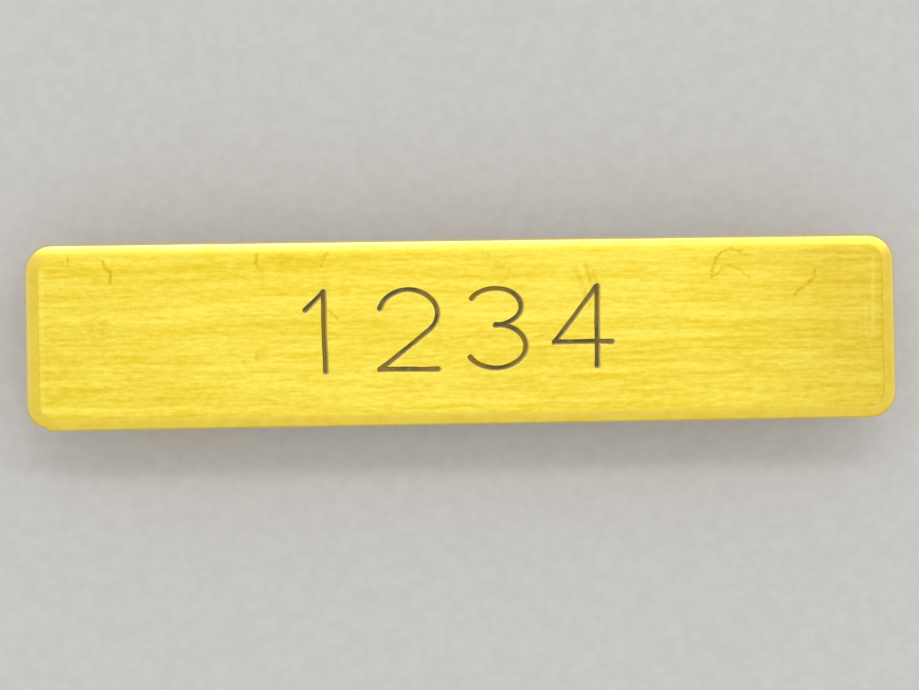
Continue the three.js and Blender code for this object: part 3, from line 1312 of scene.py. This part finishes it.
    def outline(self, path: list[Vector], radii: list[float], height: float) -> list[Vector]:
        """Draws the round-ended outline of a stroke at one height.

        Args:
            path: The stroke's path.
            radii: Half the stroke's width at each point.
            height: The outline's height.

        Returns:
            The outline's points, counter-clockwise from above.
        """
        last = len(path) - 1
        rights = []
        for i in range(len(path)):
            along = (path[min(i + 1, last)] - path[max(i - 1, 0)]).normalized()
            rights.append(Vector((along.y, -along.x)))
        ring = [path[i] + rights[i] * radii[i] for i in range(last + 1)]
        ring += self.round_end(path[last], rights[last], radii[last])
        ring += [path[i] - rights[i] * radii[i] for i in reversed(range(last + 1))]
        ring += self.round_end(path[0], -rights[0], radii[0])
        return [Vector((point.x, point.y, height)) for point in ring]

    def round_end(self, centre: Vector, side: Vector, radius: float) -> list[Vector]:
        """Gives the half circle at a stroke's end, between its two corners.

        Args:
            centre: The end of the stroke's path.
            side: The direction from there to the corner that the half circle starts at.
            radius: Half the stroke's width there.

        Returns:
            The points of the half circle, without the two corners.
        """
        start = math.atan2(side.y, side.x)
        angles = [start + math.pi * i / self.end_steps for i in range(1, self.end_steps)]
        return [centre + radius * Vector((math.cos(angle), math.sin(angle))) for angle in angles]

    def stroke_solid(self, number: int, profile: Sequence[Point]) -> bpy.types.Object:
        """Sweeps a profile along a stroke.

        Args:
            number: The stroke's number.
            profile: Pairs of half width and depth below the face, deepest first.

        Returns:
            The swept solid.
        """
        path = self.paths()[number]
        factors = self.swell(path, number)
        rings = []
        for half, depth in profile:
            offset = self.cutter_lean * self.shoulder(depth) * Vector((-1.0, 1.0))
            radii = [half * factor for factor in factors]
            height = self.face - depth - number * self.pass_drop
            rings.append(self.outline([point + offset for point in path], radii, height))
        return solid(f"stroke_{self.digit}_{number}", loft(rings))

    def shoulder(self, depth: float) -> float:
        """Gives how far down the rounded shoulder a depth lies, from 0 at the face to 1 at its end."""
        return math.sqrt(min(1.0, max(0.0, depth / self.shoulder_depth)))

    def wall(self, depth: float) -> float:
        """Gives half the cut's width at a depth.

        Args:
            depth: The depth below the face.

        Returns:
            Half the width there of the rounded shoulder, or below it of the steep round-bottomed core.
        """
        half = self.mouth + (self.core - self.mouth) * self.shoulder(depth)
        share = min(1.0, max(0.0, (depth - self.shoulder_depth) / (self.depth - self.shoulder_depth)))
        return half * (1.0 - share) ** self.core_curve

    def cut_profile(self) -> list[Point]:
        """Works out the cutter's profile: a round bottom, steep walls and rounded shoulders.

        Returns:
            Pairs of half width and depth, deepest first and ending above the face.
        """
        core_depth = self.depth - self.shoulder_depth
        depths = [self.shoulder_depth + share * core_depth for share in self.core_shares]
        for step in range(self.shoulder_steps, 0, -1):
            depths.append(self.shoulder_depth * (step / self.shoulder_steps) ** 2)
        profile = [(self.wall(depth), depth) for depth in depths]
        profile.append((profile[-1][0], -self.shoulder_depth))
        return profile

    def covers(self, place: Vector) -> bool:
        """Tells whether a place on the plate lies within this digit's cut."""
        beside = all(self.low[i] - self.mouth < place[i] < self.high[i] + self.mouth for i in (0, 1))
        return beside and place.z > self.face - self.depth - self.cut_slack

    def cutters(self) -> list[bpy.types.Object]:
        """Makes the solids that cut this digit into the plate, one for each stroke."""
        return [self.stroke_solid(i, self.cut_profile()) for i in range(len(STROKES[self.digit]))]

    def paint_profiles(self) -> tuple[list[Point], list[Point]]:
        """Works out the profile of the paint, and of the tool that hollows its top.

        Returns:
            Both as pairs of half width and depth, deepest first.
        """
        gap = self.paint_gap
        deepest = self.depth - self.paint_floor
        depths = [deepest + share * (self.paint_edge_depth - deepest) for share in self.paint_shares]
        body = [(max(self.paint_least, self.wall(depth + gap) - gap), depth) for depth in depths]
        hollow = []
        climb = self.paint_edge_depth - self.paint_depth
        for share in self.hollow_shares:
            depth = self.paint_depth + climb * share**self.hollow_curve
            spread = self.hollow_floor + (1.0 - self.hollow_floor) * share
            hollow.append((max(self.hollow_least, (self.wall(depth) - self.hollow_inset) * spread), depth))
        hollow.append((hollow[-1][0], self.paint_edge_depth - self.hollow_rise))
        return body, hollow

    def paint(self, finish: bpy.types.Material) -> bpy.types.Object:
        """Makes the paint, which lies low in the middle of each stroke and climbs its walls.

        Args:
            finish: The paint's material.

        Returns:
            The paint as one piece.
        """
        body, hollow = self.paint_profiles()
        strokes = range(len(STROKES[self.digit]))
        piece, *others = [self.stroke_solid(i, body) for i in strokes]
        carve(piece, others, Carving.JOIN, Solver.MANIFOLD)
        carve(piece, [self.stroke_solid(i, hollow) for i in strokes], Carving.CUT, Solver.MANIFOLD)
        piece.name = piece.data.name = self.node.replace("digit_paint", "painted_digit")
        piece.data.materials.append(finish)
        smooth(piece, self.sharp_deg)
        stand_for(piece, self.node)
        return piece


@dataclass
class NamePlate:
    """The brass plate: a rounded rectangle with a shallow bevel, a dented corner and cut digits.

    Attributes:
        node: The node that it stands for.
        corner_radius: The radius of its corners.
        edge_radius: The radius of the small round edge above its sides.
        bevel_width: How wide the bevel is, seen from above.
        bevel_drop: How far the bevel falls.
        end_curve: How much steeper the bevel is at its edge than on the mean, at the plate's two ends.
        side_curve: The same along its two long sides, where it runs out more softly.
        back_edge: The radius of the edge round its back.
        dent_depth: How far the knocked corner is pushed in.
        dent_tool: The radius of what knocked it.
        dent_deg: The direction of the dent round the corner's centre.
        dent_fade: How much less far in the dent reaches for each millimetre in from the side.
        burr: How far the metal that the knock pushed aside stands out.
        burr_gap_deg: How far past the dent's end it stands highest.
        burr_spread_deg: How far to each side it dies away.
        back_steps: How many steps the edge round the back has.
        edge_steps: How many steps the small round edge has.
        bevel_steps: How many steps the bevel has.
        corner_steps: How many steps a corner has.
        straight_step: How far apart the points along a straight side are.
        sharp_deg: The angle above which the plate's edges stay sharp.
        level_from: How far up a face's normal has to point for the face to be shaded flat.
    """

    BRUSH_DIRECTION = "brush_direction"

    node: str = "name_plate"
    corner_radius: float = 1.9
    edge_radius: float = 0.2
    bevel_width: float = 0.8
    bevel_drop: float = 0.1
    end_curve: float = 1.2
    side_curve: float = 1.9
    back_edge: float = 0.12
    dent_depth: float = 0.14
    dent_tool: float = 1.2
    dent_deg: float = 245.0
    dent_fade: float = 0.75
    burr: float = 0.05
    burr_gap_deg: float = 1.5
    burr_spread_deg: float = 2.2
    back_steps: int = 3
    edge_steps: int = 6
    bevel_steps: int = 14
    corner_steps: int = 45
    straight_step: float = 0.6
    sharp_deg: float = 40.0
    level_from: float = 0.9999

    def __post_init__(self) -> None:
        """Takes the plate's length, height, back and face from the frame."""
        low, high = node_box(self.node)
        self.half_length = high.x
        self.half_height = high.y
        self.back = low.z
        self.face = high.z

    def rim(self, degrees: float) -> list[Point]:
        """Works out the rim's profile on the side that faces a direction, from the back to the face.

        Args:
            degrees: The direction, round the plate from +X.

        Returns:
            Pairs of inset from the side and height, in millimetres.
        """
        lengthwise = math.sin(math.radians(degrees)) ** 2
        curve = self.end_curve + (self.side_curve - self.end_curve) * lengthwise
        slope = math.atan(curve * self.bevel_drop / self.bevel_width)
        edge_width = self.edge_radius * (1 - math.sin(slope))
        shoulder = self.face - self.bevel_drop - self.edge_radius * math.cos(slope)
        points = []
        for i in range(self.back_steps + 1):
            angle = math.pi / 2 * i / self.back_steps
            inset = self.back_edge * (1 - math.sin(angle))
            points.append((inset, self.back + self.back_edge * (1 - math.cos(angle))))
        points.append((0.0, (self.back + shoulder) / 2))
        for i in range(self.edge_steps):
            angle = (math.pi / 2 - slope) * i / self.edge_steps
            inset = self.edge_radius * (1 - math.cos(angle))
            points.append((inset, shoulder + self.edge_radius * math.sin(angle)))
        for i in range(self.bevel_steps + 1):
            share = i / self.bevel_steps
            drop = self.bevel_drop * (1 - share) ** curve
            points.append((edge_width + self.bevel_width * share, self.face - drop))
        return points

    def corner_reach(self, degrees: float, inset: float) -> float:
        """Gives how far the outline is from a corner's centre, with the dent where it meets it.

        Args:
            degrees: The direction from the corner's centre.
            inset: How far in from the side the outline lies.

        Returns:
            The distance in millimetres.
        """
        off = math.radians(degrees - self.dent_deg)
        tool_centre = self.corner_radius - self.dent_depth + self.dent_tool
        chord = self.dent_tool**2 - (tool_centre * math.sin(off)) ** 2
        dented = self.corner_radius
        if chord > 0 and math.cos(off) > 0:
            dented = min(dented, tool_centre * math.cos(off) - math.sqrt(chord))
        opposite = tool_centre**2 + self.corner_radius**2 - self.dent_tool**2
        dent_end = math.degrees(math.acos(opposite / (2 * tool_centre * self.corner_radius)))
        past_burr = degrees - self.dent_deg - dent_end - self.burr_gap_deg
        thrown = self.burr * math.exp(-((past_burr / self.burr_spread_deg) ** 2))
        return min(self.corner_radius - inset, dented - (1.0 - self.dent_fade) * inset) + thrown

    def upright(self, centre: Point, degrees: float) -> list[Vector]:
        """Gives the points that stand over one place of a corner's outline, from the back to the face.

        Args:
            centre: The corner's centre.
            degrees: The direction from it.

        Returns:
            One point for each step of the rim's profile.
        """
        angle = math.radians(degrees)
        points = []
        for inset, height in self.rim(degrees):
            reach = self.corner_reach(degrees, inset)
            points.append(Vector((*on_ellipse(centre, (reach, reach), angle), height)))
        return points

    def blank(self) -> bpy.types.Object:
        """Makes the plate before the digits are cut.

        Returns:
            The plain plate.
        """
        x = self.half_length - self.corner_radius
        y = self.half_height - self.corner_radius
        corners = []
        for centre, start in (((x, y), 0), ((-x, y), 90), ((-x, -y), 180), ((x, -y), 270)):
            turns = [start + 90 * i / self.corner_steps for i in range(self.corner_steps + 1)]
            corners.append([self.upright(centre, degrees) for degrees in turns])
        outline = []
        for corner, following in zip(corners, corners[1:] + corners[:1]):
            outline += corner
            first, last = corner[-1], following[0]
            steps = round((last[0] - first[0]).length / self.straight_step)
            for i in range(1, steps):
                outline.append([low.lerp(high, i / steps) for low, high in zip(first, last)])
        return solid("plate", loft(list(zip(*outline))))

    def build(
        self,
        digits: Sequence[EngravedDigit],
        brass: bpy.types.Material,
        groove: bpy.types.Material,
    ) -> bpy.types.Object:
        """Makes the plate with its digits cut and its finishes on.

        Args:
            digits: The digits to cut.
            brass: The plate's finish.
            groove: The finish of the cuts' walls.

        Returns:
            The plate.
        """
        plate = self.blank()
        carve(plate, [cutter for digit in digits for cutter in digit.cutters()], Carving.CUT)
        for finish in (brass, groove):
            plate.data.materials.append(finish)
        smooth(plate, self.sharp_deg)
        self.sort_faces(plate, digits)
        self.lay_brush_direction(plate)
        stand_for(plate, self.node)
        return plate

    def sort_faces(self, plate: bpy.types.Object, digits: Sequence[EngravedDigit]) -> None:
        """Keeps the flat face and back flat, and gives the cuts their own finish.

        Args:
            plate: The plate.
            digits: The digits that are cut into it.
        """
        for polygon in plate.data.polygons:
            middle = polygon.center / MM
            level = abs(polygon.normal.z) > self.level_from
            cut = not level and any(digit.covers(middle) for digit in digits)
            polygon.material_index = int(cut)
            polygon.use_smooth = not level

    def lay_brush_direction(self, plate: bpy.types.Object) -> None:
        """Lays a map over the plate whose first axis runs along the brushing.

        Args:
            plate: The plate.
        """
        layer = plate.data.uv_layers.new(name=self.BRUSH_DIRECTION)
        shear = 0.5
        for loop in plate.data.loops:
            x, y, z = plate.data.vertices[loop.vertex_index].co / MM
            layer.data[loop.index].uv = (x + shear * z, y + shear * z)


@dataclass
class TurnedPiece:
    """A turned piece behind the plate, of which there is one on each side.

    Attributes:
        side: Which of the two it is.
    """

    NODE: ClassVar[str]
    NAME: ClassVar[str]
    SLOT: ClassVar[Slot]
    SIDES: ClassVar[int]
    SHARP_DEG: ClassVar[float] = 35.0

    side: Side

    def profile(self, reach: float, low: float, high: float) -> list[Point]:
        """Works out the piece's profile, which each kind of piece has its own form of.

        Args:
            reach: The piece's largest radius.
            low: The height of its lower end.
            high: The height of its upper end.

        Returns:
            Pairs of radius and height, from the lower cap to the upper one.
        """
        raise NotImplementedError

    def build(self, finish: bpy.types.Material) -> bpy.types.Object:
        """Makes the piece in the place of its node.

        Args:
            finish: Its material.

        Returns:
            The piece.
        """
        node = f"{self.NODE}_{self.side.value}"
        low, high = node_box(node)
        middle = (low + high) / 2
        profile = self.profile((high.x - low.x) / 2, low.z, high.z)
        shape = turn(profile, (middle.x, middle.y), self.SIDES)
        piece = solid(f"{self.NAME}_{self.side.value}", shape)
        piece.data.materials.append(finish)
        smooth(piece, self.SHARP_DEG)
        stand_for(piece, node)
        return piece


@dataclass
class ClutchBack(TurnedPiece):
    """A round clutch: a barrel with a soft lower edge, a rounded flange and a blind bore.

    Attributes:
        barrel_diameter: The barrel's diameter.
        edge_radius: The radius of the barrel's lower edge.
        end_ring: Where on its flat end a ring of points lies, as a share of the barrel's radius.
        wall_ring: How high on its wall a ring of points lies, as a share of the height of the
            flange's underside.
        flange_thickness: The flange's thickness.
        flange_edge: The radius of the flange's edges.
        neck: The radius of the hollow where the barrel meets the flange.
        ring_shares: Where the ring pressed into the flange starts, is deep, and ends, inwards, as
            shares of the flange's radius.
        ring_depth: How deep that ring is.
        bore_diameter: The bore's diameter.
        bore_edge: How wide and deep the bore's sloped edge is.
        end_wall: How thick the closed end is.
    """

    NODE = "clutch"
    NAME = "clutch_back"
    SLOT = Slot.CLUTCH
    SIDES = 120

    barrel_diameter: float = 7.4
    edge_radius: float = 0.8
    end_ring: float = 0.45
    wall_ring: float = 0.55
    flange_thickness: float = 0.9
    flange_edge: float = 0.28
    neck: float = 0.3
    ring_shares: tuple[float, float, float, float] = (0.62, 0.6, 0.57, 0.55)
    ring_depth: float = 0.06
    bore_diameter: float = 1.44
    bore_edge: float = 0.22
    end_wall: float = 0.8

    def profile(self, reach: float, low: float, high: float) -> list[Point]:
        """Works out the clutch's profile.

        Args:
            reach: The flange's radius.
            low: The height of the flat end.
            high: The height of the flange's top.

        Returns:
            Pairs of radius and height, from the lower end up, over the flange and down the bore.
        """
        barrel = self.barrel_diameter / 2
        underside = high - self.flange_thickness
        flat = reach - self.flange_edge
        bore = self.bore_diameter / 2
        floor = low + self.end_wall
        points: list[Point] = [(AXIS_GAP, low), (barrel * self.end_ring, low)]
        points += rounding((barrel - self.edge_radius, low + self.edge_radius), self.edge_radius, -90, 0)
        points += [(barrel, underside * self.wall_ring)]
        points += rounding((barrel + self.neck, underside - self.neck), self.neck, 180, 90)
        points += rounding((flat, underside + self.flange_edge), self.flange_edge, -90, 0)
        points += rounding((flat, high - self.flange_edge), self.flange_edge, 0, 90)
        for share, depth in zip(self.ring_shares, (0.0, self.ring_depth, self.ring_depth, 0.0)):
            points.append((reach * share, high - depth))
        points += [(bore + self.bore_edge, high), (bore, high - self.bore_edge)]
        points += [(bore, floor), (AXIS_GAP, floor)]
        return points


@dataclass
class PinPost(TurnedPiece):
    """A nail-like post: a thin round head on the plate's back and a pointed shank in the clutch.

    Attributes:
        diameter: The shank's diameter.
        head_thickness: The head's thickness.
        head_edge: The radius of the head's edges.
        neck: The radius of the hollow where the shank meets the head.
        tip_length: How long the pointed tip is.
        tip_diameter: How wide the blunt end of the tip is.
        tip_flat: How wide the flat of that end is, as a share of it.
        tip_edge: How high the sloped edge of that end is.
        taper_inset: How far inside the shank the tip's taper ends.
        taper_drop: How far below the tip's full length it ends.
        taper_rise: How far above it the shank is whole.
        groove_depth: How deep the groove is that the clutch grips.
        groove_rises: How far above the tip's full length the groove starts, is deep, and ends.
    """

    NODE = "pin_post"
    NAME = "pin_post_fine"
    SLOT = Slot.POST
    SIDES = 72

    diameter: float = 1.2
    head_thickness: float = 0.4
    head_edge: float = 0.12
    neck: float = 0.1
    tip_length: float = 1.0
    tip_diameter: float = 0.3
    tip_flat: float = 0.7
    tip_edge: float = 0.05
    taper_inset: float = 0.04
    taper_drop: float = 0.06
    taper_rise: float = 0.05
    groove_depth: float = 0.12
    groove_rises: tuple[float, float, float, float] = (0.35, 0.5, 0.75, 0.9)

    def profile(self, reach: float, low: float, high: float) -> list[Point]:
        """Works out the post's profile.

        Args:
            reach: The head's radius.
            low: The height of the tip.
            high: The height of the head's top.

        Returns:
            Pairs of radius and height, from the tip up.
        """
        shank = self.diameter / 2
        groove = shank - self.groove_depth
        tip = self.tip_diameter / 2
        underside = high - self.head_thickness
        flat = reach - self.head_edge
        shoulder = low + self.tip_length
        points: list[Point] = [(AXIS_GAP, low), (tip * self.tip_flat, low), (tip, low + self.tip_edge)]
        points += [(shank - self.taper_inset, shoulder - self.taper_drop)]
        points += [(shank, shoulder + self.taper_rise)]
        for radius, rise in zip((shank, groove, groove, shank), self.groove_rises):
            points.append((radius, shoulder + rise))
        points += rounding((shank + self.neck, underside - self.neck), self.neck, 180, 90)
        points += rounding((flat, underside + self.head_edge), self.head_edge, -90, 0)
        points += rounding((flat, high - self.head_edge), self.head_edge, 0, 90)
        points += [(AXIS_GAP, high)]
        return points


@dataclass(frozen=True)
class Softbox:
    """A soft studio light.

    Attributes:
        name: Its name.
        towards_deg: The direction that it stands in, round the badge from +X.
        height_deg: Its height above the horizon.
        distance: Its distance from the badge, in metres.
        size: Its width and height, in metres.
        power: Its power, in watts.
    """

    name: str
    towards_deg: float
    height_deg: float
    distance: float
    size: Point
    power: float

    def place(self) -> None:
        """Puts the light in the scene, facing the badge."""
        lamp = bpy.data.lights.new(self.name, "AREA")
        lamp.shape = "RECTANGLE"
        lamp.size, lamp.size_y = self.size
        lamp.energy = self.power
        light = bpy.data.objects.new(self.name, lamp)
        light.visible_camera = False
        around, up = math.radians(self.towards_deg), math.radians(self.height_deg)
        away = Vector((math.cos(around) * math.cos(up), math.sin(around) * math.cos(up), math.sin(up)))
        light.location = away * self.distance
        light.rotation_euler = away.to_track_quat("Z", "Y").to_euler()
        bpy.context.scene.collection.objects.link(light)


@dataclass
class Studio:
    """The floor, lights and camera round the badge.

    Attributes:
        aim: The point of the face that the middle of the picture shows, in millimetres.
        tilt_deg: How far the camera leans towards the badge's lower edge.
        lean_deg: How far it leans towards the badge's right end.
        roll_deg: How far it is rolled.
        distance: How far it is from the face, in millimetres.
        lens: Its focal length, in millimetres.
        sensor: The width of its sensor, in millimetres.
        clip_start: How near to it things still show, in metres.
        floor_half: How far the floor reaches to each side, in millimetres.
        ambient: The brightness of the room.
        softboxes: The lights.
    """

    aim: tuple[float, float, float] = (-0.34, -0.92, 7.2)
    tilt_deg: float = 1.08
    lean_deg: float = -4.0
    roll_deg: float = -0.89
    distance: float = 220.0
    lens: float = 124.6
    sensor: float = 36.0
    clip_start: float = 0.01
    floor_half: float = 1500.0
    ambient: float = 0.6
    softboxes: tuple[Softbox, ...] = (
        Softbox("key", 90.0, 66.0, 0.9, (0.12, 0.1), 0.22),
        Softbox("strip", 80.0, 66.0, 0.9, (0.8, 0.11), 1.0),
        Softbox("overhead", 300.0, 82.0, 1.1, (1.5, 2.2), 1.9),
        Softbox("overhead_core", 0.0, 86.6, 1.05, (0.24, 0.42), 0.12),
    )

    def build(self) -> None:
        """Sets up the floor, the lights, the room and the camera."""
        self.lay_floor()
        for softbox in self.softboxes:
            softbox.place()
        self.light_room()
        self.stand_camera()
        bpy.context.scene.view_settings.view_transform = "Standard"

    def lay_floor(self) -> None:
        """Lays the floor that the badge lies on."""
        half = self.floor_half
        corners = [Vector((x * half, y * half, 0.0)) for x, y in ((-1, -1), (1, -1), (1, 1), (-1, 1))]
        floor = solid("floor", (corners, [(0, 1, 2, 3)]))
        floor.data.materials.append(PaleFloor().build())

    def light_room(self) -> None:
        """Gives the room a soft light of its own."""
        world = bpy.data.worlds.new("room")
        world.use_nodes = True
        background = world.node_tree.nodes["Background"]
        background.inputs["Color"].default_value = (1.0, 1.0, 1.0, 1.0)
        background.inputs["Strength"].default_value = self.ambient
        bpy.context.scene.world = world

    def stand_camera(self) -> None:
        """Stands the camera where the photograph was taken from."""
        lens = bpy.data.cameras.new("camera")
        lens.lens = self.lens
        lens.sensor_width = self.sensor
        lens.clip_start = self.clip_start
        camera = bpy.data.objects.new("camera", lens)
        turned = (
            Matrix.Rotation(math.radians(self.tilt_deg), 3, "X")
            @ Matrix.Rotation(math.radians(self.lean_deg), 3, "Y")
            @ Matrix.Rotation(math.radians(self.roll_deg), 3, "Z")
        )
        place = Vector(self.aim) + turned @ Vector((0.0, 0.0, self.distance))
        camera.matrix_world = Matrix.Translation(place * MM) @ turned.to_4x4()
        bpy.context.scene.collection.objects.link(camera)
        bpy.context.scene.camera = camera


def main() -> None:
    """Builds the badge piece by piece, reports each piece, and sets up the studio."""
    plate = NamePlate()
    digits = [
        EngravedDigit(number, f"digit_paint_{number}", plate.face, lean + ROW_LEAN_DEG)
        for number, lean in enumerate(DIGIT_LEANS_DEG, start=1)
    ]
    brass = BrushedBrass(plate.face, plate.back).build()
    groove = GrooveBrass(plate.face).build()
    report(plate.build(digits, brass, groove))
    paint = EngravingPaint().build()
    for digit in digits:
        report(digit.paint(paint))
    axes = tuple(sum(node_box(f"clutch_{side.value}"), Vector()).x / 2 for side in Side)
    clutch_brass = ClutchBrass(axes).build()
    post_brass = PostBrass(axes).build()
    for side in Side:
        report(ClutchBack(side).build(clutch_brass))
        report(PinPost(side).build(post_brass))
    Studio().build()


if __name__ == "__main__":
    main()
